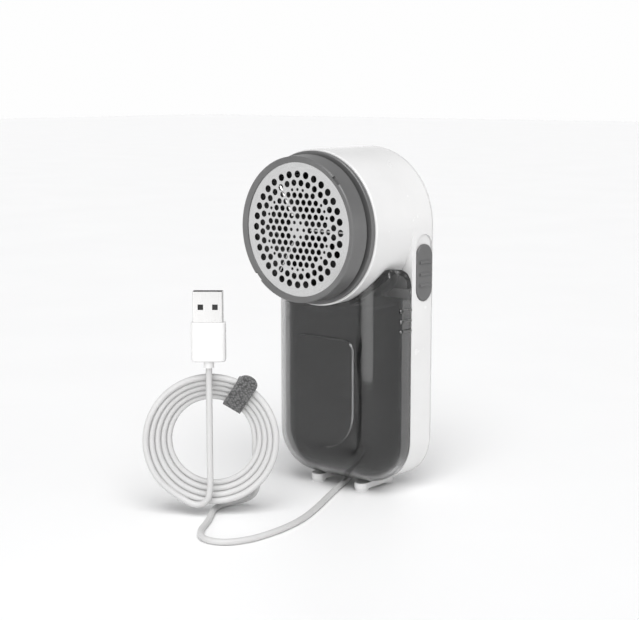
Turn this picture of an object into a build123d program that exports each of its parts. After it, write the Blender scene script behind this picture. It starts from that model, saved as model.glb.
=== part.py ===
from build123d import *
import math
import os

# Fabric shaver with a screw-on foil head, a slide-out lint bin and a fixed USB lead.
# It stands on its base: +Z up, the head and the bin face -Y, origin under the middle of the body.

# ---- driving dimensions (mm) ----
half_width = 33.0            # half the width of the body, and the radius of its arched top
underside = 3.6              # height of the body's underside above the floor
base = underside + 3.6       # datum for the heights of the parts of the body
axis_z = base + 108.2        # height of the head's axis
corner_radius = 20.0         # lower corners of the outline
wall = 2.0                   # housing wall
seam_y = 10.5                # seam between the bin and the housing
cover_y = 24.8               # front edge of the rear cover
cover_seam = 0.4             # open shadow gap between the housing and the rear cover
back_y = 26.1                # back of the rear cover
barrel_front_y = -13.8       # front end of the head barrel
ring_front_y = -26.1         # front of the foil ring
ring_back_y = -18.0          # rear end of the foil ring
foil_y = -25.0               # front face of the foil
foil_thickness = 0.35
chamber_radius = 31.0        # inside of the barrel

bin_front_y = -8.0           # front wall of the lint bin
bin_back_edge_y = 10.2       # rear edge of the lint bin
bin_top = base + 91.4        # tops of the bin's shoulders
bin_wall = 1.8
bin_front_radius = 15.5      # rounding of the bin's front edges
bin_shoulder_radius = 9.0
neck_clearance = 0.35        # gap between the bin and the barrel
panel_half_width = 16.7      # U-shaped raised panel on the bin's front
panel_top = base + 61.0
panel_bottom = base + 12.4
panel_height = 0.8           # how far the panel stands out
grip_rib_heights = (65.0, 69.3, 73.7)  # of the bin's grip ribs, above the datum

switch_low = base + 76.6     # lower end of the slide switch at rest
switch_high = base + 100.9
switch_travel = 4.0
switch_y = 19.0
switch_width = 11.0
button_rib_heights = (83.4, 88.1, 93.2)  # of the slider's ribs, above the datum

foil_radius = 28.5
outer_hole_ring = 23.0       # radius of the outermost ring of holes
second_hole_ring = 19.5
hole_field_radius = 16.7     # holes in rows fill the foil out to here
hole_pitch = 3.3
field_hole_radius = 1.2
small_hole_radius = 0.65

shaft_radius = 1.0
motor_radius = 12.2
motor_front_y = -6.4
motor_back_y = 18.6
blade_count = 3

cord_diameter = 2.6
coil_outer_radius = 28.9     # outside of the outermost turn
coil_turn_pitch = 2.25       # radial step from turn to turn
coil_turn_step = 1.3         # each inner turn lies this much further back
coil_turns = 4.7
coil_contact = (-10.8, -65.8)  # floor point under the coil
coil_facing_angle = 39.4     # turn of the coil's own frame about Z
coil_floor_gap = 2.7         # the coil stands on the cord that passes under it
run_front_offset = -2.7      # the upright run lies in front of the outermost turn
run_offset = -0.7            # and a little left of the coil's centre
gland_x = -3.9
gland_y = 17.45
gland_bottom = underside + 3.4
gland_seat = underside + 10.4  # top of the boss that the gland's flange sits on

strap_angle = 59.0           # of the tie round the coil, from the horizontal
plug_width = 14.0
plug_thickness = 6.6
plug_height = 16.0
shell_width = 12.0
shell_thickness = 4.5
shell_height = 12.4
collar_height = 2.6

rail_low = 1.2               # underside of the runners, on the feet
foot_x = 12.2
foot_radius = 3.0
screw_clearance = 0.05


# ---- helpers ----
def along_y(sketch, y_low, y_high):
    """Extrude a sketch drawn in X and Z from y_low to y_high."""
    return extrude(Plane.XZ.offset(-y_high) * sketch, y_high - y_low)


def round_y(radius, y_low, y_high, x=0.0, z=axis_z):
    """Cylinder along Y."""
    return Pos(x, (y_low + y_high) / 2, z) * Rot(90, 0, 0) * Cylinder(radius, y_high - y_low)


def round_z(radius, z_low, z_high, x, y):
    """Cylinder along Z."""
    return Pos(x, y, (z_low + z_high) / 2) * Cylinder(radius, z_high - z_low)


def block(x, y, z):
    """Box from three (low, high) pairs."""
    low = [min(pair) for pair in (x, y, z)]
    size = [max(pair) - min(pair) for pair in (x, y, z)]
    middle = [a + b / 2 for a, b in zip(low, size)]
    return Pos(*middle) * Box(*size)


def tube_y(outer, inner, y_low, y_high):
    """Ring along Y about the head's axis."""
    return round_y(outer, y_low, y_high) - round_y(inner, y_low - 1, y_high + 1)


def about_axis(angle, part):
    """Turn a part about the head's axis."""
    return Pos(0, 0, axis_z) * Rot(0, -angle, 0) * Pos(0, 0, -axis_z) * part


def outline(inset=0.0):
    """Front outline of the body: flat base, rounded corners, straight sides, arched top."""
    radius = half_width - inset
    low = underside + inset
    lower = Pos(0, (low + axis_z) / 2) * Rectangle(2 * radius, axis_z - low)
    lower = fillet(lower.vertices().sort_by(Axis.Y)[:2], corner_radius - inset)
    return lower + Pos(0, axis_z) * Circle(radius)


def body_slab(inset, y_low, y_high):
    return along_y(outline(inset), y_low, y_high)


def revolve_y(points):
    """Turn a profile of (radius, y) points about the head's axis."""
    profile = make_face(Polyline(*[(r, y, 0) for r, y in points], close=True))
    return Pos(0, 0, axis_z) * revolve(profile, Axis.Y)


def mirrored(part):
    return [part, mirror(part, Plane.YZ)]


nodes = {}


def save(name, *solids):
    """Keep one named node, made of one or more separate solids."""
    flat = []
    for solid in solids:
        flat += solid.solids() if hasattr(solid, "solids") else list(solid)
    nodes[name] = flat[0] if len(flat) == 1 else Compound(flat)


# ---- housing ----
cover_screw_spots = [(x, base + z) for x in (-16, 16) for z in (22, 77.5)]
chassis_screw_angles = (35, 145, 215, 325)
board_screw_spots = [(-18, base + 33), (18, base + 33), (-18, base + 65), (18, base + 65)]
base_screw_y = 15.4
base_screw_spots = [(-12, base_screw_y), (12, base_screw_y)]
chute_half_width = 12.0
chute_y = (-5.5, 3.0)


def switch_recess(side):
    """Stadium recess in the side wall that the slider runs in, with its stem slot."""
    height = switch_high - switch_low + switch_travel + 0.6
    middle = (switch_low + switch_high + switch_travel) / 2
    stadium = Plane.YZ * Pos(switch_y, middle) * SlotOverall(height, switch_width + 0.6, rotation=90)
    pocket = Pos(32.3 if side > 0 else -34.3, 0, 0) * extrude(stadium, 2)
    stem_high = switch_high - 7.8 + switch_travel + 0.4
    stem = block((side * 28, side * 34), (16.7, 21.3), (switch_low + 7.8, stem_high))
    return pocket + stem


def make_main_housing():
    shell_back = cover_y - cover_seam
    shell = body_slab(0, seam_y, shell_back) + round_y(half_width, barrel_front_y, shell_back)
    shell = fillet(shell.edges().filter_by(lambda e: abs(e.center().Y - barrel_front_y) < 0.01), 0.6)
    lip = (body_slab(2.15, 6.0, seam_y + 0.5) - body_slab(3.7, 5.0, seam_y + 1)) & block(
        (-40, 40), (0, 20), (0, base + 78))
    inside = body_slab(wall, seam_y + wall, cover_y) + round_y(chamber_radius, barrel_front_y - 1, cover_y)
    shell = shell - inside
    shell += lip - round_y(half_width + 1, -20, 20)
    for x, z in cover_screw_spots:
        shell += round_y(3.0, seam_y + wall - 0.5, 20.0, x, z)
    for x, z in board_screw_spots:
        shell += round_y(2.4, seam_y + wall - 0.5, 14.1, x, z)
    for angle in chassis_screw_angles:
        boss = about_axis(angle, round_y(3.2, 9.1, 16.0, 28.6)) & round_y(half_width - 0.5, 0, 30)
        shell += boss
    for x, y in base_screw_spots:
        shell += round_z(2.8, underside + 0.5, underside + 8.5, x, y)
    shell += round_z(4.85, underside + 0.5, gland_seat, gland_x, gland_y)
    for x, z in cover_screw_spots:
        shell -= round_y(1.2 + screw_clearance, 13.3, 21, x, z)
    for x, z in board_screw_spots:
        shell -= round_y(0.9 + screw_clearance, 12.0, 15, x, z)
    for angle in chassis_screw_angles:
        shell -= about_axis(angle, round_y(1.2 + screw_clearance, 9.0, 15.5, 28.0))
    for x, y in base_screw_spots:
        shell -= round_z(1.1 + screw_clearance, underside - 1, underside + 7.5, x, y)
    shell -= round_z(3.6, underside - 1, gland_seat + 1, gland_x, gland_y)
    shell -= block((-chute_half_width, chute_half_width), chute_y, (axis_z - 34, axis_z - 29))
    for side in (-1, 1):
        shell -= switch_recess(side)
    return shell


pad_half_width = 19.5
pad_low = underside + 6.0
pad_high = axis_z + half_width - 15.0
pad_corner_drop = 7.0


def pad_outline(grow):
    """Arch of the lint pad: straight sides, shallow curved top, rounded lower corners."""
    half = pad_half_width + grow
    low = pad_low - grow
    high = pad_high + grow
    shoulder = high - pad_corner_drop
    outline_edges = Curve() + [
        Line((-half, low), (half, low)),
        Line((half, low), (half, shoulder)),
        ThreePointArc((half, shoulder), (0, high), (-half, shoulder)),
        Line((-half, shoulder), (-half, low)),
    ]
    face = make_face(outline_edges)
    return fillet(face.vertices().sort_by(Axis.Y)[:2], 5 + grow)


clip_spots = [(x, base + z) for x in (-24.2, 24.2) for z in (24, 106)]


def clip_block(x, z, grow=0.0):
    blank = along_y(Pos(x, z) * RectangleRounded(7.6 + 2 * grow, 7 + 2 * grow, 1.0), 24.35 - grow, 26.05)
    return blank


def make_rear_cover():
    cover = body_slab(0, cover_y, back_y)
    cover = fillet(cover.edges().filter_by(lambda e: abs(e.center().Y - back_y) < 0.01), 1.1)
    cover += body_slab(wall + 0.2, 22.4, cover_y + 0.2)
    for x, z in cover_screw_spots:
        cover += round_y(4.0, 20.15, 23, x, z)
    cover -= along_y(pad_outline(0.5), 24.3, back_y + 1)
    for x, z in clip_spots:
        cover -= clip_block(x, z, 0.15) + along_y(Pos(x, z) * Rectangle(7.9, 7.3), 25.9, back_y + 1)
    for x, z in cover_screw_spots:
        cover -= round_y(2.9, 22.4, 25, x, z) + round_y(1.35, 19, 23, x, z)
    return cover


def make_head_flange():
    """Grey collar: spigot in the barrel, thin outer flange, and a bayonet neck with three lugs."""
    flange = revolve_y([(24.5, -16.0), (32.3, -16.0), (32.3, -13.8), (30.85, -13.8), (30.85, -9.0),
                        (28.6, -9.0), (28.6, -13.0), (24.5, -13.0)])
    flange = fillet(flange.edges().filter_by(lambda e: abs(e.radius - 32.3) < 0.01 if e.geom_type ==
                                             GeomType.CIRCLE else False), 0.5)
    flange += tube_y(27.2, 25.9, -20.9, -15.5)
    lug = (tube_y(28.35, 26.5, -20.9, -19.7)) & block((0, 40), (-30, 0), (axis_z - 4.5, axis_z + 4.5))
    for index in range(3):
        flange += about_axis(120 * index + 30, lug)
    return flange


# ---- motor and rotor ----
def make_motor_chassis():
    chassis = round_y(30.8, 7.0, 9.0) + round_y(14.2, -8.2, 8.0)
    chassis -= round_y(12.3, -6.5, 10)
    chassis -= round_y(3.5, -10, 0)
    for angle in chassis_screw_angles:
        chassis -= about_axis(angle, round_y(1.35, 6, 10, 28.0))
    return chassis


def make_motor_can():
    can = round_y(motor_radius, motor_front_y, motor_back_y) + round_y(3.2, -8.8, motor_front_y + 0.5)
    can -= round_y(11.2, motor_front_y + 1.0, motor_back_y + 1)
    can -= round_y(2.2, -10, 0)
    return can


def make_end_cap():
    cap = round_y(11.1, 16.6, motor_back_y) + round_y(3.6, 18, 20.6)
    cap -= round_y(2.2, 16, 21)
    return cap


def make_magnets():
    ring = tube_y(11.1, 9.3, -3.0, 13.0)
    halves = ring - block((-40, 40), (-10, 20), (axis_z - 4, axis_z + 4))
    return halves


def make_armature():
    core = round_y(8.8, -2.0, 10.5)
    for index in range(3):
        slot = block((-1.0, 1.0), (-3, 12), (axis_z + 4.5, axis_z + 9))
        slot += block((-3.6, 3.6), (-3, 12), (axis_z + 4.2, axis_z + 7.2))
        core -= about_axis(120 * index, slot)
    return core - round_y(shaft_radius + 0.002, -5, 15)


def make_windings():
    coils = []
    for index in range(3):
        coil = block((-3.4, 3.4), (-3.6, 12.1), (axis_z + 4.3, axis_z + 7.0))
        coil = fillet(coil.edges().filter_by(Axis.X), 1.2)
        coils.append(about_axis(120 * index, coil))
    return coils


def make_fan():
    fan = round_y(4.6, -15.0, -10.0) + round_y(22.0, -10.9, -10.0)
    vane = block((4.0, 21.5), (-15.0, -10.5), (axis_z - 0.5, axis_z + 0.5))
    for index in range(8):
        fan += about_axis(45 * index, vane)
    return fan - round_y(shaft_radius, -16, -9)


def make_blade_hub():
    hub = round_y(5.5, -23.6, -17.0)
    arm = block((3.0, 24.0), (-21.7, -19.3), (axis_z - 2.6, axis_z + 2.6))
    for index in range(blade_count):
        hub += about_axis(120 * index, arm)
    hub -= round_y(shaft_radius, -22.2, -16)
    return hub


def make_blades():
    blade = block((6.5, 25.2), (-24.4, -21.7), (axis_z - 0.4, axis_z + 0.4))
    blade = chamfer(blade.edges().filter_by(Axis.X).sort_by(Axis.Y)[0], 0.35)
    return [about_axis(120 * index, blade) for index in range(blade_count)]


# ---- foil head ----
def ring_of_holes(radius, count, hole_radius, start=0.0):
    return [Pos(radius * math.cos(a), radius * math.sin(a)) * Circle(hole_radius)
            for a in [math.radians(start) + 2 * math.pi * i / count for i in range(count)]]


def field_spots():
    """Hole centres in offset rows, clear of the plain middle of the foil."""
    spots = []
    for row in range(-6, 7):
        for column in range(-6, 7):
            x = hole_pitch * (column + 0.5 * (row % 2))
            z = hole_pitch * row * math.sqrt(3) / 2
            if 5.0 < math.hypot(x, z) < hole_field_radius:
                spots.append((x, z))
    return spots


def gap_spots(spots):
    """Centres of small holes that fill the gaps at the edge of the rows."""
    gaps = []
    least = field_hole_radius + small_hole_radius + 0.4
    for index in range(72):
        angle = math.radians(5 * index)
        x, z = hole_field_radius * math.cos(angle), hole_field_radius * math.sin(angle)
        near_hole = any(math.hypot(x - a, z - b) < least for a, b in spots)
        near_gap = any(math.hypot(x - a, z - b) < 2.4 for a, b in gaps)
        if not near_hole and not near_gap:
            gaps.append((x, z))
    return gaps


def make_foil():
    """Perforated steel disc with a short skirt: two rings of large holes round rows of smaller ones."""
    holes = ring_of_holes(outer_hole_ring, 32, 1.5)
    holes += ring_of_holes(second_hole_ring, 32, 1.35, 5.625)
    spots = field_spots()
    holes += [Pos(x, z) * Circle(field_hole_radius) for x, z in spots]
    holes += [Pos(x, z) * Circle(small_hole_radius) for x, z in gap_spots(spots)]
    holes += ring_of_holes(3.4, 6, 0.75)
    holes.append(Circle(0.7))
    disc = Circle(foil_radius) - holes
    foil = along_y(Pos(0, axis_z) * disc, foil_y, foil_y + foil_thickness)
    foil += tube_y(foil_radius, foil_radius - 0.3, foil_y, -23.2)
    return foil


def make_foil_ring():
    """Grey ring with a sloping front face, bayonet lugs inside and two grip notches."""
    ring = revolve_y([(27.9, -25.4), (30.0, ring_front_y), (30.45, -25.75), (31.0, ring_back_y),
                      (28.65, ring_back_y), (28.65, foil_y - 0.05), (27.9, foil_y - 0.05)])
    lug = (tube_y(29.0, 27.45, -19.5, ring_back_y)) & block((0, 40), (-30, 0), (axis_z - 4.5, axis_z + 4.5))
    for index in range(3):
        ring += about_axis(120 * index + 30, lug)
    notch = block((29.3, 32), (ring_front_y - 1, -24.9), (axis_z - 2.2, axis_z + 2.2))
    for angle in (45, 225):
        ring -= about_axis(angle, notch)
    return ring


# ---- lint bin ----
def bin_side_profile(inset):
    """Side view of the bin's shoulders: level top with a rounded rear corner."""
    centre_y = bin_back_edge_y - bin_shoulder_radius
    centre_z = bin_top - bin_shoulder_radius
    lower = block((-40, 40), (-30, bin_back_edge_y + 0.01), (0, centre_z))
    upper = block((-40, 40), (-30, centre_y), (centre_z - 1, bin_top - inset))
    corner = Pos(0, centre_y, centre_z) * Rot(0, 90, 0) * Cylinder(bin_shoulder_radius - inset, 80)
    return lower + upper + corner


def bin_blank(inset, y_back):
    blank = body_slab(inset, bin_front_y + inset, y_back)
    front = blank.edges().filter_by(lambda e: abs(e.center().Y - bin_front_y - inset) < 0.01)
    blank = fillet(front, bin_front_radius - inset)
    return blank & bin_side_profile(inset)


def make_lint_bin():
    outer = Pos(0, 0, 0.2) * bin_blank(0, bin_back_edge_y)
    lower_panel = Pos(0, panel_bottom + panel_half_width) * Circle(panel_half_width)
    upper_panel = Pos(0, (panel_top + panel_bottom + panel_half_width) / 2) * Rectangle(
        2 * panel_half_width, panel_top - panel_bottom - panel_half_width)
    upper_panel = fillet(upper_panel.vertices().sort_by(Axis.Y)[2:], 5)
    panel_y = bin_front_y - panel_height
    panel = along_y(lower_panel + upper_panel, panel_y, bin_front_y + 1.2)
    panel = chamfer(panel.edges().filter_by(lambda e: abs(e.center().Y - panel_y) < 0.01), 0.6)
    outer += panel
    for side in (-1, 1):
        for z in grip_rib_heights:
            outer += round_y(0.8, 3.0, 9.8, side * (half_width - 0.15), base + z)
    inner = Pos(0, 0, 0.2) * bin_blank(bin_wall, bin_back_edge_y + 1)
    inner -= round_y(half_width + neck_clearance + bin_wall, -40, 40)
    shell = outer - inner
    shell -= round_y(half_width + neck_clearance, -40, 40)
    shell -= block((-13, 13), (-5.9, 3.4), (base + 70, base + 80))
    return shell


def make_bin_back():
    """Rear wall of the bin, clear of the housing's lip behind it."""
    plate = bin_blank(bin_wall + 0.1, bin_back_edge_y) & block((-40, 40), (4.0, 5.5), (0, base + 79))
    plate = Pos(0, 0, 0.2) * plate
    return plate - round_y(half_width + neck_clearance + bin_wall + 0.1, -10, 20)


def make_bin_funnel():
    """Curved throat plate under the neck that keeps the lint from falling back."""
    dip_radius = 90.0
    plate = round_y(dip_radius, -6.0, 3.95, 0, base + 71.2 + dip_radius)
    plate -= round_y(dip_radius - 1.2, -7, 5, 0, base + 71.2 + dip_radius)
    plate &= block((-29.5, 29.5), (-6.0, 3.95), (base + 60, base + 78))
    plate &= Pos(0, 0, 0.2) * bin_blank(bin_wall + 0.05, bin_back_edge_y)
    return plate - block((-11, 11), (-5, 2.5), (base + 60, base + 80))


# ---- slide switch ----
def make_button(side):
    """Ribbed slider on the side wall, with the stem that reaches the carriage inside."""
    middle = (switch_low + switch_high) / 2
    height = switch_high - switch_low
    stadium = Plane.YZ * Pos(switch_y, middle) * SlotOverall(height, switch_width, rotation=90)
    plate = Pos(32.4, 0, 0) * extrude(stadium, 1.1)
    plate = fillet(plate.edges().filter_by(lambda e: abs(e.center().X - 33.5) < 0.01), 0.5)
    for z in button_rib_heights:
        rib = Pos(33.3, switch_y, base + z) * Rot(90, 0, 0) * Cylinder(0.8, switch_width - 3.4)
        plate += rib
    plate += block((29.5, 32.6), (17.0, 21.0), (switch_low + 8.2, switch_high - 8.2))
    return plate if side > 0 else mirror(plate, Plane.YZ)


def make_carriage():
    """Yoke across the housing, with the fork that drives the switch lever."""
    middle = (switch_low + switch_high) / 2
    yoke = block((-29.5, 29.5), (18.0, 21.0), (middle - 3, middle + 3))
    return yoke + block((-3, 3), (20.4, 21.6), (base + 71.2, middle + 1))


def make_switch_body():
    body = block((-7, 7), (16.0, 20.2), (base + 69.6, base + 78.2))
    return body - block((-1.3, 1.3), (18.2, 21), (base + 71.0, base + 79))


# ---- base ----
def make_rails():
    """Two runners under the body that leave room for the lead between them."""
    rail = block((9.0, 15.4), (0.2, 24.0), (rail_low, underside + 2))
    rail = fillet(rail.edges().filter_by(Axis.Z), 3.0)
    rail -= body_slab(0, -10, 40)
    x = base_screw_spots[1][0]
    rail -= round_z(2.4, 0, rail_low + 1.4, x, base_screw_y) + round_z(1.25, 0, 6, x, base_screw_y)
    return mirrored(rail)


def make_base_screws():
    x = base_screw_spots[1][0]
    head = round_z(2.2, rail_low + 0.1, rail_low + 1.3, x, base_screw_y)
    return mirrored(head + round_z(1.1, rail_low + 1.2, underside + 7.0, x, base_screw_y))


def make_feet():
    return [round_z(foot_radius, 0, rail_low, x, y) for x in (-foot_x, foot_x) for y in (3.4, 20.9)]


def make_gland():
    gland = round_z(3.5, gland_bottom, gland_seat, gland_x, gland_y)
    return gland + round_z(4.7, gland_seat, gland_seat + 1.6, gland_x, gland_y)


# ---- screws ----
def screw_y(x, z, head_front, head_radius, shank_end, shank_radius, head_height=1.6):
    """Screw along Y with its head at the +Y end."""
    head = round_y(head_radius, head_front, head_front + head_height, x, z)
    slot = block((x - head_radius, x + head_radius), (head_front + head_height - 0.5, head_front + 3),
                 (z - 0.3, z + 0.3))
    return head + round_y(shank_radius, shank_end, head_front + 0.2, x, z) - slot


# ---- electrics ----
def wire(points, radius=0.5, bend=1.5):
    """Thin wire along a bent path."""
    path = FilletPolyline(*points, radius=bend)
    return sweep(Plane(path @ 0, z_dir=path % 0) * Circle(radius), path)


def make_board():
    board = block((-22, 22), (14.1, 15.7), (base + 29, base + 69))
    for x, z in board_screw_spots:
        board -= round_y(1.1, 13, 17, x, z)
    return board


# ---- cord ----
def coil_point(u, d, z):
    """Point in the coil's own frame: u to the right, d away from its face, z above the floor."""
    place = Pos(coil_contact[0], coil_contact[1], 0) * Rot(0, 0, coil_facing_angle)
    return (place * Pos(u, d, z)).position


# the lead: out of the gland, under the bin, over the floor, round, and up behind the coil
floor_z = cord_diameter / 2
lead_points = [
    Vector(gland_x, gland_y, gland_bottom),
    Vector(gland_x, gland_y, 4.6),
    Vector(gland_x + 0.5, gland_y - 1.5, 2.3),
    Vector(gland_x + 1.5, gland_y - 4.2, floor_z),
    Vector(-0.3, 8.4, floor_z),
    Vector(3.3, -1.0, floor_z),
    Vector(9.2, -15.2, floor_z),
    Vector(17.0, -33.0, floor_z),
    Vector(22.4, -48.0, floor_z),
    Vector(24.6, -60.0, floor_z),
    Vector(25.0, -71.5, floor_z),
    Vector(23.8, -82.0, floor_z),
    Vector(18.6, -91.2, floor_z),
    Vector(9.0, -92.4, floor_z),
    Vector(1.2, -85.4, floor_z),
    Vector(-4.0, -76.2, floor_z),
    coil_point(-0.5, -4.0, floor_z),
    coil_point(-0.6, 4.0, floor_z),
    coil_point(2.2, 12.0, floor_z),
    coil_point(9.0, 15.6, floor_z + 0.3),
    coil_point(15.4, 13.6, floor_z + 3.0),
    coil_point(17.9, 10.2, floor_z + 8.6),
    coil_point(17.3, 9.0, floor_z + 16.5),
    coil_point(17.0, 6.6, floor_z + 24.5),
]

# the tail: out of the outermost turn, and upright in front of the coil to the plug
coil_centre_z = coil_floor_gap + coil_outer_radius
outer_turn_radius = coil_outer_radius - cord_diameter / 2
tail_top = coil_centre_z + coil_outer_radius + 2.2
tail_points = [
    coil_point(-11.6, 0.0, coil_centre_z - outer_turn_radius + 2.6),
    coil_point(-6.8, -0.9, coil_centre_z - outer_turn_radius + 0.9),
    coil_point(-2.5, -2.2, coil_centre_z - outer_turn_radius + 2.2),
    coil_point(-0.6, run_front_offset, coil_centre_z - outer_turn_radius + 7.2),
    coil_point(run_offset - 0.1, run_front_offset, coil_centre_z - 6.0),
    coil_point(run_offset, run_front_offset, tail_top),
]


def cord_radii(points):
    """Arc radius at each corner: 0.45 of the shorter run over the tangent of half the turn."""
    radii = []
    for before, corner, after in zip(points, points[1:], points[2:]):
        run_in = corner - before
        run_out = after - corner
        half_turn = math.radians(run_in.get_angle(run_out) / 2)
        radii.append(0.45 * min(run_in.length, run_out.length) / math.tan(half_turn))
    return radii


def make_cord(points):
    path = FilletPolyline(*points, radius=cord_radii(points))
    return sweep(Plane(path @ 0, z_dir=path % 0) * Circle(cord_diameter / 2), path)


def in_coil_frame(part):
    return Pos(coil_contact[0], coil_contact[1], 0) * Rot(0, 0, coil_facing_angle) * part


coil_depth = coil_turn_step * coil_turns + cord_diameter
coil_inner_radius = coil_outer_radius - coil_turn_pitch * coil_turns - cord_diameter
coil_front = -cord_diameter / 2


def make_coil():
    ring = round_y(coil_outer_radius, coil_front, coil_front + coil_depth, 0, coil_centre_z)
    ring -= round_y(coil_inner_radius, coil_front - 1, coil_front + coil_depth + 1, 0, coil_centre_z)
    return in_coil_frame(ring)


def make_strap():
    """Hook-and-loop tie round the coil's band, with a rounded free end."""
    strap_width = 8.2
    gap = 0.15
    thick = 1.1
    inner = coil_inner_radius - gap - 0.55
    outer = coil_outer_radius + gap
    back = coil_front + coil_depth + gap
    wrap = block((inner - thick, outer + thick), (coil_front - gap - thick, back + thick),
                 (-strap_width / 2, strap_width / 2))
    wrap -= block((inner, outer), (coil_front - gap, back), (-strap_width, strap_width))
    tab = Plane.XZ * Pos(outer + thick, 0) * Circle(strap_width / 2)
    tab = Pos(0, coil_front - gap, 0) * extrude(tab, thick)
    strap = Rot(0, -strap_angle, 0) * (wrap + tab)
    return in_coil_frame(Pos(0, 0, coil_centre_z) * strap)


plug_low = tail_top + collar_height
plug_high = plug_low + plug_height


def at_plug(part):
    return in_coil_frame(Pos(run_offset, run_front_offset, 0) * part)


def make_overmold():
    grip = Pos(0, 0, plug_low) * extrude(RectangleRounded(plug_width, plug_thickness, 2.2), plug_height)
    grip = fillet(grip.faces().sort_by(Axis.Z)[-1].edges(), 0.5)
    grip = fillet(grip.faces().sort_by(Axis.Z)[0].edges(), 0.9)
    collar = Pos(0, 0, (tail_top + plug_low) / 2 + 0.1) * Cylinder(2.1, collar_height + 0.2)
    grip += collar
    pocket = Pos(0, 0, plug_high - 1.5) * Box(shell_width, shell_thickness, 3.0)
    return at_plug(grip - pocket)


def make_plug_shell():
    low = plug_high - 3.0
    shell = Pos(0, 0, low + (shell_height + 3.0) / 2) * Box(shell_width, shell_thickness, shell_height + 3.0)
    shell = fillet(shell.edges().filter_by(Axis.Z), 0.4)
    shell -= Pos(0, 0, low + 0.4 + 10) * Box(shell_width - 0.6, shell_thickness - 0.6, 20)
    for x in (-2.9, 2.9):
        shell -= Pos(x, 0, plug_high + 6.2) * Box(2.2, 10, 2.2)
    return at_plug(shell)


def make_tongue():
    low = plug_high - 2.6
    return at_plug(Pos(0, -0.9, low + 6.6) * Box(11.2, 1.8, 13.2))


def make_contacts():
    return [at_plug(Pos(x, 0.1, plug_high + 5.5) * Box(1.1, 0.16, 8.0)) for x in (-3.5, -1.0, 1.0, 3.5)]


# ---- all nodes ----
save("main_housing", make_main_housing())
save("rear_cover", make_rear_cover())
save("head_flange", make_head_flange())
save("pad_tray", along_y(pad_outline(0.3), 24.35, 25.0))
save("lint_pad", along_y(pad_outline(0.0), 25.05, 26.05))
save("pad_clips", *[clip_block(x, z) for x, z in clip_spots])
save("cover_screws", *[screw_y(x, z, 22.5, 2.6, 13.5, 1.2) for x, z in cover_screw_spots])

save("motor_chassis", make_motor_chassis())
save("chassis_screws", *[about_axis(a, round_y(2.4, 5.5, 7.0, 28.0) + round_y(1.2, 6.5, 15.2, 28.0))
                         for a in chassis_screw_angles])
save("motor_can", make_motor_can())
save("motor_end_cap", make_end_cap())
save("motor_magnets", make_magnets())
save("motor_bushes", *[tube_y(2.18, shaft_radius + 0.05, low, high) for low, high in ((-8.7, -5.6), (16.8, 20.5))])
save("motor_brushes", *mirrored(block((2.95, 10.8), (13.8, 15.4), (axis_z - 0.2, axis_z + 0.2))))
save("motor_shaft", round_y(shaft_radius, -22.1, 20.3))
save("motor_armature", make_armature())
save("armature_windings", *make_windings())
save("commutator", tube_y(2.8, shaft_radius + 0.002, 12.6, 16.0))
save("fan_impeller", make_fan())
save("blade_hub", make_blade_hub())
save("cutter_blades", *make_blades())

save("foil_ring", make_foil_ring())
save("cutter_foil", make_foil())
save("foil_retainer", tube_y(28.1, 26.9, -24.6, -21.4))

save("lint_bin", make_lint_bin())
save("bin_back", make_bin_back())
save("bin_funnel", make_bin_funnel())

save("right_switch_button", make_button(1))
save("left_switch_button", make_button(-1))
save("switch_carriage", make_carriage())
save("switch_lever", block((-1.1, 1.1), (18.4, 20.4), (base + 71.4, base + 73.6)))
save("slide_switch", make_switch_body())
save("circuit_board", make_board())
save("filter_capacitor", round_y(3.2, 15.7, 21.5, -10, base + 50))
save("control_chip", block((4, 11), (15.7, 17.2), (base + 44, base + 52)))
save("board_screws", *[screw_y(x, z, 15.7, 1.8, 12.6, 0.9, 1.2) for x, z in board_screw_spots])
save("motor_leads", *mirrored(wire([(11, 16.3, base + 62), (11.3, 16.7, base + 78), (11.1, 16.9, base + 97.6),
                                    (9.0, 19.9, base + 100.2), (7.0, 19.3, base + 103.8)])))
save("supply_wires", *[wire([(gland_x + s, gland_y, gland_seat + 1.7),
                             (gland_x + s * 2.0, gland_y - 0.6, base + 20),
                             (gland_x + s * 5.0, 16.4, base + 27.5),
                             (gland_x + s * 5.2, 16.3, base + 36)]) for s in (-1, 1)])

save("base_rails", *make_rails())
save("base_screws", *make_base_screws())
save("rubber_feet", *make_feet())
save("cord_gland", make_gland())

save("cord_lead", make_cord(lead_points))
save("cord_coil", make_coil())
save("cord_tail", make_cord(tail_points))
save("cable_strap", make_strap())
save("plug_overmold", make_overmold())
save("plug_shell", make_plug_shell())
save("plug_tongue", make_tongue())
save("plug_contacts", *make_contacts())

os.makedirs("parts", exist_ok=True)
for node_name, shape in nodes.items():
    export_step(shape, f"parts/{node_name}.step")
print(len(nodes), "nodes written")
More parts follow.
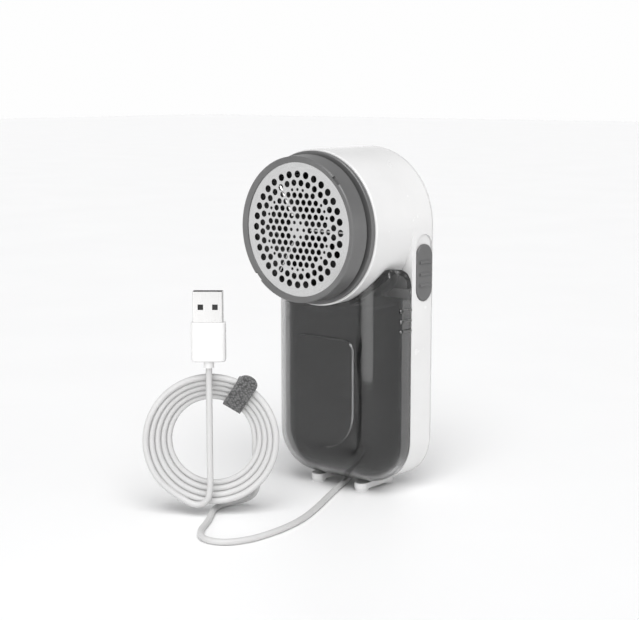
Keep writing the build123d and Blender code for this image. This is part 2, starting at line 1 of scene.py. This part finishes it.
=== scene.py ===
import bpy
import math
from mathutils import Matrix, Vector


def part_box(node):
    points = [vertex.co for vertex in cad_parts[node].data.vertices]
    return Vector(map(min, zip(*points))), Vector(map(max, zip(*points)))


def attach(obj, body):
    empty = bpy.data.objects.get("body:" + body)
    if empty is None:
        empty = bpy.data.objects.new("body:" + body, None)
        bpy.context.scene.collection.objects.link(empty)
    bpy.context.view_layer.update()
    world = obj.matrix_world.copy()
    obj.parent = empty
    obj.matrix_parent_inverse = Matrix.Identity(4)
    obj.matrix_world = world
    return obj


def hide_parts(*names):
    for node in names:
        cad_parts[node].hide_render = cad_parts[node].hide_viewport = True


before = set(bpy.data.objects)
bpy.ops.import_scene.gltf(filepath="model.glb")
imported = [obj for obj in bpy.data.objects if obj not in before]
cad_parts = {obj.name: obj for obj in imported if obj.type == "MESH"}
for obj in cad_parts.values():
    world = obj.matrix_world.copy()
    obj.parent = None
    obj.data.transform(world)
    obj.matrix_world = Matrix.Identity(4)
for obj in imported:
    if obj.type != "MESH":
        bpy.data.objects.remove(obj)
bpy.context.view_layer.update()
MM = 0.001

# ---- driving sizes, in millimetres, as in the CAD frame ----
UNDERSIDE = 3.6
AXIS_Z = UNDERSIDE + 111.8
CORD_DIAMETER = 2.6
COIL_CONTACT = (-10.8, -65.8)
COIL_ANGLE = math.radians(39.4)
COIL_OUTER = 28.9
COIL_PITCH = 2.25
COIL_STEP = 1.3
COIL_TURNS = 4.7
COIL_FLOOR_GAP = 2.7
COIL_CENTRE_Z = COIL_FLOOR_GAP + COIL_OUTER
OUTER_TURN = COIL_OUTER - CORD_DIAMETER / 2
FLOOR_Z = CORD_DIAMETER / 2
GLAND = (-3.9, 17.45, UNDERSIDE + 3.4)
RUN_OFFSET = -0.7
RUN_FRONT = -2.7
TAIL_TOP = COIL_CENTRE_Z + COIL_OUTER + 2.2
STRAP_ANGLE = math.radians(59.0)
PAD_CORNER_DROP = 7.0
PAD_CORNER_RADIUS = 5.0

# ---- camera and light settings ----
CAMERA_AZIMUTH = math.radians(39.41)
CAMERA_DISTANCE = 0.6011
CAMERA_HEIGHT = 0.1740
CAMERA_LENS = 79.4
AIM_LEFT = 0.0116
AIM_DOWN = 0.1585
SOFTBOX_SPREAD = math.radians(80.0)


# ---- camera ----
def make_camera():
    east, north = math.sin(CAMERA_AZIMUTH), math.cos(CAMERA_AZIMUTH)
    position = Vector((CAMERA_DISTANCE * east, -CAMERA_DISTANCE * north, CAMERA_HEIGHT))
    ahead = Vector((-east, north, 0))
    right = Vector((north, east, 0))
    aim = ahead - AIM_LEFT * right - AIM_DOWN * Vector((0, 0, 1))
    data = bpy.data.cameras.new("camera")
    data.sensor_width = 36
    data.lens = CAMERA_LENS
    camera = bpy.data.objects.new("camera", data)
    camera.location = position
    camera.rotation_euler = aim.to_track_quat("-Z", "Y").to_euler()
    bpy.context.collection.objects.link(camera)
    bpy.context.scene.camera = camera


make_camera()


# ---- materials ----
class Surface:
    """A procedural material: a Principled shader and the nodes that feed it."""

    def __init__(self, name, **constants):
        self.material = bpy.data.materials.new(name)
        self.material.use_nodes = True
        self.tree = self.material.node_tree
        self.shader = self.tree.nodes["Principled BSDF"]
        for label, value in constants.items():
            self.shader.inputs[label.replace("_", " ")].default_value = value
        self.coordinates = self.tree.nodes.new("ShaderNodeTexCoord").outputs["Object"]

    def link(self, source, target):
        self.tree.links.new(source, target)

    def stretched(self, scale):
        """Object coordinates multiplied by a scale for each axis."""
        mapping = self.tree.nodes.new("ShaderNodeMapping")
        mapping.inputs["Scale"].default_value = scale
        self.link(self.coordinates, mapping.inputs["Vector"])
        return mapping.outputs["Vector"]

    def noise(self, scale, detail=3.0, stretch=(1, 1, 1), vector=None):
        texture = self.tree.nodes.new("ShaderNodeTexNoise")
        texture.inputs["Scale"].default_value = scale
        texture.inputs["Detail"].default_value = detail
        self.link(vector or self.stretched(stretch), texture.inputs["Vector"])
        return texture.outputs["Fac"]

    def math(self, operation, a, b=0.0):
        node = self.tree.nodes.new("ShaderNodeMath")
        node.operation = operation
        for socket, value in zip(node.inputs, (a, b)):
            if isinstance(value, (int, float)):
                socket.default_value = value
            else:
                self.link(value, socket)
        return node.outputs[0]

    def separate(self, vector=None):
        node = self.tree.nodes.new("ShaderNodeSeparateXYZ")
        self.link(vector or self.coordinates, node.inputs[0])
        return node.outputs

    def spread(self, factor, low, high):
        node = self.tree.nodes.new("ShaderNodeMapRange")
        node.inputs["From Min"].default_value = 0.3
        node.inputs["From Max"].default_value = 0.7
        node.inputs["To Min"].default_value = low
        node.inputs["To Max"].default_value = high
        self.link(factor, node.inputs["Value"])
        return node.outputs["Result"]

    def colour(self, first, second, factor):
        """Base colour that runs from first to second with the factor."""
        ramp = self.tree.nodes.new("ShaderNodeValToRGB")
        ramp.color_ramp.elements[0].position = 0.3
        ramp.color_ramp.elements[1].position = 0.7
        ramp.color_ramp.elements[0].color = (*first, 1)
        ramp.color_ramp.elements[1].color = (*second, 1)
        self.link(factor, ramp.inputs["Fac"])
        self.link(ramp.outputs["Color"], self.shader.inputs["Base Color"])

    def roughness(self, factor, low, high):
        self.link(self.spread(factor, low, high), self.shader.inputs["Roughness"])

    def bump(self, factor, distance, strength=1.0):
        """Relief: distance in metres."""
        node = self.tree.nodes.new("ShaderNodeBump")
        node.inputs["Distance"].default_value = distance
        node.inputs["Strength"].default_value = strength
        self.link(factor, node.inputs["Height"])
        self.link(node.outputs["Normal"], self.shader.inputs["Normal"])


def grey(value, warmth=0.0):
    return (value * (1 + warmth), value, value * (1 - warmth))


def moulded_plastic(name, first, second, low, high, texture=0.00003, grain=1400, **constants):
    """Moulded plastic: faint mottling, uneven gloss and a fine spark-eroded grain."""
    surface = Surface(name, **constants)
    surface.colour(first, second, surface.noise(35))
    surface.roughness(surface.noise(120), low, high)
    surface.bump(surface.noise(grain, 2), texture, 0.35)
    return surface.material


def brushed_metal(name, value, low, high, stretch, scale=900):
    """Metal with fine parallel tool marks along the axis whose stretch is smallest."""
    surface = Surface(name, Metallic=1.0)
    marks = surface.noise(scale, 4, stretch)
    surface.colour(grey(value * 0.86, 0.01), grey(value, 0.005), marks)
    surface.roughness(marks, low, high)
    surface.bump(marks, 0.00002, 0.25)
    return surface.material


def turned_metal(name, value, low, high):
    """Sheet metal with circular brush marks about the head's axis."""
    surface = Surface(name, Metallic=1.0)
    centred = surface.tree.nodes.new("ShaderNodeVectorMath")
    centred.operation = "SUBTRACT"
    centred.inputs[1].default_value = (0, 0, AXIS_Z * MM)
    surface.link(surface.coordinates, centred.inputs[0])
    x, y, z = surface.separate(centred.outputs[0])
    radius = surface.math("SQRT", surface.math("ADD", surface.math("MULTIPLY", x, x),
                                               surface.math("MULTIPLY", z, z)))
    angle = surface.math("ARCTAN2", z, x)
    rings = surface.tree.nodes.new("ShaderNodeCombineXYZ")
    surface.link(surface.math("MULTIPLY", radius, 7000.0), rings.inputs[0])
    surface.link(surface.math("MULTIPLY", angle, 5.0), rings.inputs[1])
    marks = surface.noise(1.0, 3, vector=rings.outputs[0])
    surface.colour(grey(value * 0.85), grey(value), marks)
    surface.roughness(marks, low, high)
    surface.bump(marks, 0.000008, 0.15)
    return surface.material


def woven(name, dark, light, pitch, height, axes, **constants):
    """Plain weave: threads over and under along two of the object's axes, with fibre noise."""
    surface = Surface(name, **constants)
    parts = surface.separate()
    over = surface.math("SINE", surface.math("MULTIPLY", parts[axes[0]], 2 * math.pi / pitch))
    under = surface.math("SINE", surface.math("MULTIPLY", parts[axes[1]], 2 * math.pi / pitch))
    weave = surface.math("MULTIPLY", over, under)
    weave = surface.math("ADD", surface.math("MULTIPLY", weave, 0.5), 0.5)
    fibre = surface.noise(2600, 5)
    mixed = surface.math("ADD", surface.math("MULTIPLY", weave, 0.7),
                         surface.math("MULTIPLY", fibre, 0.3))
    surface.colour(dark, light, mixed)
    surface.roughness(fibre, 0.75, 0.95)
    surface.bump(mixed, height, 0.8)
    return surface.material


def looped(name, dark, light, size, height, **constants):
    """Hook-and-loop tape: small crowded loops with gaps between them, and fibre noise."""
    surface = Surface(name, **constants)
    loops = surface.tree.nodes.new("ShaderNodeTexVoronoi")
    loops.inputs["Scale"].default_value = 1 / size
    loops.inputs["Randomness"].default_value = 0.7
    surface.link(surface.coordinates, loops.inputs["Vector"])
    rounded = surface.math("SUBTRACT", 1.0, loops.outputs["Distance"])
    fibre = surface.noise(2400, 5)
    mixed = surface.math("ADD", surface.math("MULTIPLY", rounded, 0.7),
                         surface.math("MULTIPLY", fibre, 0.3))
    surface.colour(dark, light, mixed)
    surface.roughness(fibre, 0.75, 0.95)
    surface.bump(mixed, height, 0.8)
    return surface.material


def smoked(name, tint, low, high):
    """Smoked transparent plastic: tinted, with faint flow lines and a slightly uneven polish."""
    surface = Surface(name, Transmission_Weight=1.0, IOR=1.49)
    flow = surface.noise(60, 3, (1, 1, 0.15))
    surface.colour(grey(tint * 0.95), grey(tint), flow)
    surface.roughness(surface.noise(90, 2), low, high)
    surface.bump(flow, 0.00006, 0.25)
    return surface.material


WHITE = moulded_plastic("white_plastic", grey(0.70, 0.003), grey(0.74, 0.003), 0.2, 0.28, 0.00001, 900,
                        Coat_Weight=0.3, Coat_Roughness=0.08)
GREY = moulded_plastic("grey_plastic", grey(0.125), grey(0.15), 0.34, 0.44, 0.00002, 1500,
                       Metallic=0.25, Coat_Weight=0.15, Coat_Roughness=0.25)
SWITCH = moulded_plastic("switch_plastic", grey(0.105), grey(0.125), 0.4, 0.5, 0.00003, 1300)
DARK = moulded_plastic("dark_plastic", grey(0.012), grey(0.02), 0.45, 0.6, 0.00003, 1200)
CHIP = moulded_plastic("chip_epoxy", grey(0.01), grey(0.018), 0.5, 0.65, 0.00002, 2000)
GLAND_RUBBER = moulded_plastic("gland_rubber", grey(0.62), grey(0.68), 0.5, 0.65, 0.00003, 1000)
BOARD = moulded_plastic("solder_mask", (0.01, 0.07, 0.03), (0.015, 0.10, 0.045), 0.25, 0.4, 0.00002, 700)
WIRE = moulded_plastic("wire_insulation", (0.42, 0.01, 0.008), (0.5, 0.015, 0.012), 0.3, 0.42)
CORD = moulded_plastic("cord_pvc", grey(0.50, 0.004), grey(0.56, 0.004), 0.36, 0.48, 0.00002, 1500)
PLUG = moulded_plastic("plug_pvc", grey(0.68, 0.004), grey(0.72, 0.004), 0.26, 0.34, 0.00001, 1200,
                       Coat_Weight=0.1)
STEEL = brushed_metal("steel", 0.62, 0.24, 0.36, (1, 0.08, 1))
SHELL = brushed_metal("plug_shell_nickel", 0.58, 0.2, 0.3, (1, 1, 0.1), 1500)
ZINC = brushed_metal("plated_steel", 0.72, 0.14, 0.22, (1, 1, 0.1), 1200)
MAGNET = brushed_metal("ferrite", 0.08, 0.5, 0.65, (1, 1, 1), 500)
COPPER = brushed_metal("copper", 0.5, 0.22, 0.34, (0.06, 1, 1), 3000)
BRONZE = brushed_metal("bronze", 0.42, 0.35, 0.5, (1, 1, 1), 1500)
GOLD = brushed_metal("contact_gold", 0.7, 0.15, 0.25, (1, 1, 0.1), 1500)
FOIL = turned_metal("foil_steel", 0.70, 0.2, 0.3)
SMOKE = smoked("smoked_plastic", 0.45, 0.04, 0.08)
SMOKE_BACK = smoked("smoked_plastic_back", 0.16, 0.12, 0.2)
SMOKE_THROAT = smoked("smoked_plastic_throat", 0.6, 0.08, 0.14)
PAD = woven("lint_fabric", grey(0.014), grey(0.07), 1.05 * MM, 0.00022, (0, 2), Sheen_Weight=0.4,
            Sheen_Roughness=0.5)
STRAP = looped("strap_fabric", grey(0.015), grey(0.15), 1.0 * MM, 0.0004, Sheen_Weight=0.3,
               Sheen_Roughness=0.6)

for metal, tint in ((COPPER, (0.72, 0.32, 0.16)), (BRONZE, (0.55, 0.38, 0.2)), (GOLD, (0.9, 0.66, 0.25))):
    elements = [n for n in metal.node_tree.nodes if n.type == "VALTORGB"][0].color_ramp.elements
    elements[0].color = (*[c * 0.8 for c in tint], 1)
    elements[1].color = (*tint, 1)

NODE_MATERIALS = {
    "main_housing": WHITE, "rear_cover": WHITE, "pad_tray": WHITE, "pad_clips": WHITE,
    "head_flange": GREY, "foil_ring": GREY,
    "right_switch_button": SWITCH, "left_switch_button": SWITCH,
    "motor_chassis": DARK, "motor_end_cap": DARK, "fan_impeller": DARK, "blade_hub": DARK,
    "foil_retainer": DARK, "switch_carriage": DARK, "switch_lever": DARK, "base_rails": WHITE,
    "slide_switch": CHIP, "filter_capacitor": CHIP, "control_chip": CHIP, "circuit_board": BOARD,
    "rubber_feet": GLAND_RUBBER, "cord_gland": GLAND_RUBBER, "motor_leads": WIRE, "supply_wires": WIRE,
    "motor_can": STEEL, "motor_shaft": STEEL, "motor_armature": STEEL, "cutter_blades": STEEL,
    "cover_screws": ZINC, "chassis_screws": ZINC, "board_screws": ZINC, "base_screws": ZINC,
    "plug_shell": SHELL, "motor_magnets": MAGNET, "motor_brushes": COPPER, "armature_windings": COPPER,
    "commutator": COPPER, "motor_bushes": BRONZE, "plug_contacts": GOLD, "cutter_foil": FOIL,
    "lint_bin": SMOKE, "bin_back": SMOKE_BACK, "bin_funnel": SMOKE_THROAT,
    "plug_overmold": PLUG, "plug_tongue": CHIP,
}


def dress_nodes():
    """Gives every CAD node that stays visible its own procedural material."""
    for name, material in NODE_MATERIALS.items():
        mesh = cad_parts[name].data
        mesh.materials.clear()
        mesh.materials.append(material)


dress_nodes()


# ---- pieces made here ----
def link_mesh(name, vertices, faces, material):
    mesh = bpy.data.meshes.new(name)
    mesh.from_pydata([Vector(v) * MM for v in vertices], [], faces)
    mesh.validate()
    mesh.polygons.foreach_set("use_smooth", [True] * len(mesh.polygons))
    mesh.materials.append(material)
    piece = bpy.data.objects.new(name, mesh)
    bpy.context.collection.objects.link(piece)
    return piece


def in_coil_frame(u, d, z):
    """Point in the coil's frame: u to the right, d away from its face, z above the floor."""
    return (COIL_CONTACT[0] + u * math.cos(COIL_ANGLE) - d * math.sin(COIL_ANGLE),
            COIL_CONTACT[1] + u * math.sin(COIL_ANGLE) + d * math.cos(COIL_ANGLE), z)


def spiral_points():
    """The coil's turns, from the innermost at the back to the outermost at the front."""
    per_turn = 18
    rounding = 0.75 + 0.25 * math.cos(2 * math.pi / per_turn)
    points = []
    for index in range(int(COIL_TURNS * per_turn) + 1):
        turns = index / per_turn
        remaining = COIL_TURNS - turns
        radius = (OUTER_TURN - COIL_PITCH * remaining) / rounding
        angle = 2 * math.pi * turns
        points.append(in_coil_frame(radius * math.cos(angle), COIL_STEP * remaining,
                                    COIL_CENTRE_Z + radius * math.sin(angle)))
    return points[:-1]


LEAD_POINTS = [
    GLAND,
    (GLAND[0], GLAND[1], 4.6),
    (GLAND[0] + 0.5, GLAND[1] - 1.5, 2.3),
    (GLAND[0] + 1.5, GLAND[1] - 4.2, FLOOR_Z),
    (-0.3, 8.4, FLOOR_Z),
    (3.3, -1.0, FLOOR_Z),
    (9.2, -15.2, FLOOR_Z),
    (17.0, -33.0, FLOOR_Z),
    (22.4, -48.0, FLOOR_Z),
    (24.6, -60.0, FLOOR_Z),
    (25.0, -71.5, FLOOR_Z),
    (23.8, -82.0, FLOOR_Z),
    (18.6, -91.2, FLOOR_Z),
    (9.0, -92.4, FLOOR_Z),
    (1.2, -85.4, FLOOR_Z),
    (-4.0, -76.2, FLOOR_Z),
    in_coil_frame(-0.5, -4.0, FLOOR_Z),
    in_coil_frame(-0.6, 4.0, FLOOR_Z),
    in_coil_frame(2.2, 12.0, FLOOR_Z),
    in_coil_frame(9.0, 15.6, FLOOR_Z + 0.3),
    in_coil_frame(15.4, 13.6, FLOOR_Z + 3.0),
    in_coil_frame(17.9, 10.2, FLOOR_Z + 8.6),
    in_coil_frame(17.3, 9.0, FLOOR_Z + 16.5),
    in_coil_frame(17.0, 6.6, FLOOR_Z + 24.5),
]
TAIL_POINTS = [
    in_coil_frame(-11.6, 0.0, COIL_CENTRE_Z - OUTER_TURN + 2.6),
    in_coil_frame(-6.8, -0.9, COIL_CENTRE_Z - OUTER_TURN + 0.9),
    in_coil_frame(-2.5, -2.2, COIL_CENTRE_Z - OUTER_TURN + 2.2),
    in_coil_frame(-0.6, RUN_FRONT, COIL_CENTRE_Z - OUTER_TURN + 7.2),
    in_coil_frame(RUN_OFFSET - 0.1, RUN_FRONT, COIL_CENTRE_Z - 6.0),
    in_coil_frame(RUN_OFFSET, RUN_FRONT, TAIL_TOP),
]


def make_cord():
    points = LEAD_POINTS + spiral_points() + TAIL_POINTS
    curve = bpy.data.curves.new("usb_cord", "CURVE")
    curve.dimensions = "3D"
    spline = curve.splines.new("NURBS")
    spline.points.add(len(points) - 1)
    for target, point in zip(spline.points, points):
        target.co = (*[c * MM for c in point], 1)
    spline.order_u = 3
    spline.use_endpoint_u = True
    spline.resolution_u = 6
    curve.bevel_depth = CORD_DIAMETER / 2 * MM
    curve.bevel_resolution = 6
    curve.use_fill_caps = True
    curve.materials.append(CORD)
    cord = bpy.data.objects.new("usb_cord", curve)
    bpy.context.collection.objects.link(cord)
    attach(cord, "body")
    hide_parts("cord_lead", "cord_coil", "cord_tail")
    return cord


def turn_position(angle, from_outside):
    """Radius and depth of a turn of the coil at an angle, counted from the outermost."""
    remaining = from_outside + COIL_TURNS % 1 - angle / (2 * math.pi)
    return OUTER_TURN - COIL_PITCH * remaining, COIL_STEP * remaining


def make_strap():
    """Hook-and-loop tie: a closed loop round the band of turns, and its rounded free end in front."""
    half_width, thick, cap_steps, columns = 4.1, 1.1, 12, 16
    slack, overhang, tab_thick = 0.2, 4.6, 1.0
    outer_radius, outer_depth = turn_position(STRAP_ANGLE, 0)
    inner_radius, inner_depth = turn_position(STRAP_ANGLE, 4)
    band = math.hypot(outer_radius - inner_radius, outer_depth - inner_depth)
    along = ((outer_radius - inner_radius) / band, (outer_depth - inner_depth) / band)
    front = (along[1], -along[0])
    inside = CORD_DIAMETER / 2 + slack

    def place(s, h, v):
        """Point at s along the slanted band, h in front of it and v across the strap."""
        u = inner_radius + along[0] * s + front[0] * h
        d = inner_depth + along[1] * s + front[1] * h
        return in_coil_frame(u * math.cos(STRAP_ANGLE) - v * math.sin(STRAP_ANGLE), d,
                             COIL_CENTRE_Z + u * math.sin(STRAP_ANGLE) + v * math.cos(STRAP_ANGLE))

    path = []
    for centre_s, start in ((band, 90), (0.0, -90)):
        for step in range(cap_steps + 1):
            path.append((centre_s, math.radians(start - 180 * step / cap_steps)))
    vertices, faces = [], []
    for centre_s, angle in path:
        for reach in (inside, inside + thick):
            for column in range(columns + 1):
                vertices.append(place(centre_s + reach * math.cos(angle), reach * math.sin(angle),
                                      half_width * (2 * column / columns - 1)))
    row = columns + 1
    count = len(path)
    for index in range(count):
        here, there = index * 2 * row, (index + 1) % count * 2 * row
        for column in range(columns):
            faces.append((here + column, here + column + 1, there + column + 1, there + column))
            faces.append((here + row + column, there + row + column, there + row + column + 1,
                          here + row + column + 1))
        faces.append((here, there, there + row, here + row))
        faces.append((here + columns, here + row + columns, there + row + columns, there + columns))

    start = len(vertices)
    segments = 24
    for h in (inside + thick - 0.05, inside + thick + tab_thick):
        outline = [(-1.0, -half_width), (-1.0, half_width)]
        for step in range(segments + 1):
            angle = math.radians(90 - 180 * step / segments)
            outline.append((band + overhang + half_width * math.cos(angle), half_width * math.sin(angle)))
        vertices += [place(s, h, v) for s, v in outline]
    size = segments + 3
    faces.append(tuple(start + i for i in range(size)))
    faces.append(tuple(start + size + i for i in reversed(range(size))))
    for i in range(size):
        j = (i + 1) % size
        faces.append((start + i, start + size + i, start + size + j, start + j))
    strap = link_mesh("strap", vertices, faces, STRAP)
    bevel = strap.modifiers.new("soft_edges", "BEVEL")
    bevel.width = 0.25 * MM
    bevel.segments = 2
    bevel.limit_method = "ANGLE"
    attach(strap, "body")
    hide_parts("cable_strap")
    return strap


def make_lint_pad():
    """Nap fabric pad on the back: crowned, with pulled-in edges, in the arch of its tray."""
    low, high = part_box("lint_pad")
    half = (high.x - low.x) / 2 / MM
    bottom, top = low.z / MM, high.z / MM
    drop, corner = PAD_CORNER_DROP, PAD_CORNER_RADIUS
    columns, rows = 78, 240
    arch_radius = (half * half + drop * drop) / (2 * drop)
    outer_y, inner_y, edge_y = high.y / MM, low.y / MM, high.y / MM - 0.55
    vertices, faces = [], []
    for side in (0, 1):
        for i in range(columns + 1):
            x = -half + 2 * half * i / columns
            rise = top - arch_radius + math.sqrt(arch_radius ** 2 - x * x)
            over = max(0.0, abs(x) - (half - corner))
            floor = bottom + corner - math.sqrt(max(0.0, corner ** 2 - over ** 2))
            for j in range(rows + 1):
                z = floor + (rise - floor) * j / rows
                edge = min(half - abs(x), z - floor, rise - z)
                crown = 1 - max(0.0, 1 - edge / 1.6) ** 2
                wave = 0.05 * math.sin(z * 0.31 + x * 0.2) * math.sin(x * 0.45)
                y = edge_y + (outer_y - 0.05 - edge_y) * crown + wave * crown if side else inner_y
                vertices.append((x, y, z))
    row = rows + 1
    sheet = row * (columns + 1)
    for i in range(columns):
        for j in range(rows):
            a, b, c, d = i * row + j, (i + 1) * row + j, (i + 1) * row + j + 1, i * row + j + 1
            faces.append((a, b, c, d))
            faces.append((sheet + a, sheet + d, sheet + c, sheet + b))
    rim = [i * row for i in range(columns + 1)] + [columns * row + j for j in range(1, row)]
    rim += [i * row + rows for i in range(columns - 1, -1, -1)] + [j for j in range(rows - 1, 0, -1)]
    for a, b in zip(rim, rim[1:] + rim[:1]):
        faces.append((a, sheet + a, sheet + b, b))
    pad = link_mesh("lint_pad_fabric", vertices, faces, PAD)
    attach(pad, "body")
    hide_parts("lint_pad")
    return pad


cord = make_cord()
strap = make_strap()
make_lint_pad()


# ---- floor and light ----
def make_floor():
    size = 6.0
    mesh = bpy.data.meshes.new("floor")
    corners = [(-size, -size, 0), (size, -size, 0), (size, size, 0), (-size, size, 0)]
    mesh.from_pydata(corners, [], [(0, 1, 2, 3)])
    surface = Surface("floor_paper")
    surface.colour(grey(0.868), grey(0.882), surface.noise(9))
    surface.roughness(surface.noise(14), 0.5, 0.6)
    mesh.materials.append(surface.material)
    floor = bpy.data.objects.new("floor", mesh)
    bpy.context.collection.objects.link(floor)


def make_softbox(name, azimuth, distance, size, radiance):
    """Upright soft light that stands on the floor, at an angle from -Y towards +X."""
    data = bpy.data.lights.new(name, "AREA")
    data.shape = "RECTANGLE"
    data.size, data.size_y = size
    data.spread = SOFTBOX_SPREAD
    data.energy = radiance * math.pi * size[0] * size[1] * math.sin(data.spread / 2) ** 2
    light = bpy.data.objects.new(name, data)
    turn = math.radians(azimuth)
    outwards = Vector((math.sin(turn), -math.cos(turn), 0))
    light.location = outwards * distance + Vector((0, 0, size[1] / 2 + 0.002))
    light.rotation_euler = outwards.to_track_quat("Z", "Y").to_euler()
    light.visible_camera = False
    bpy.context.collection.objects.link(light)


def make_sun(name, direction, spread, strength):
    """Even soft light from far away, from the direction given."""
    data = bpy.data.lights.new(name, "SUN")
    data.angle = math.radians(spread)
    data.energy = strength
    light = bpy.data.objects.new(name, data)
    light.rotation_euler = Vector(direction).to_track_quat("Z", "Y").to_euler()
    bpy.context.collection.objects.link(light)


def make_world():
    """Bright at the horizon, a little darker overhead."""
    world = bpy.data.worlds.new("studio")
    bpy.context.scene.world = world
    world.use_nodes = True
    tree = world.node_tree
    background = tree.nodes["Background"]
    coordinates = tree.nodes.new("ShaderNodeTexCoord")
    parts = tree.nodes.new("ShaderNodeSeparateXYZ")
    ramp = tree.nodes.new("ShaderNodeValToRGB")
    tree.links.new(coordinates.outputs["Generated"], parts.inputs[0])
    tree.links.new(parts.outputs["Z"], ramp.inputs["Fac"])
    tree.links.new(ramp.outputs["Color"], background.inputs["Color"])
    ramp.color_ramp.elements[0].position = 0.08
    ramp.color_ramp.elements[0].color = (0.99, 0.99, 0.99, 1)
    ramp.color_ramp.elements[1].position = 0.5
    ramp.color_ramp.elements[1].color = (0.38, 0.38, 0.385, 1)
    background.inputs["Strength"].default_value = 1.0


make_floor()
make_world()
make_sun("key", (0.40, -0.42, 0.8), 50, 2.8)
make_softbox("front_box", 8, 0.24, (0.17, 0.08), 1.0)
bpy.context.scene.view_settings.view_transform = "Standard"
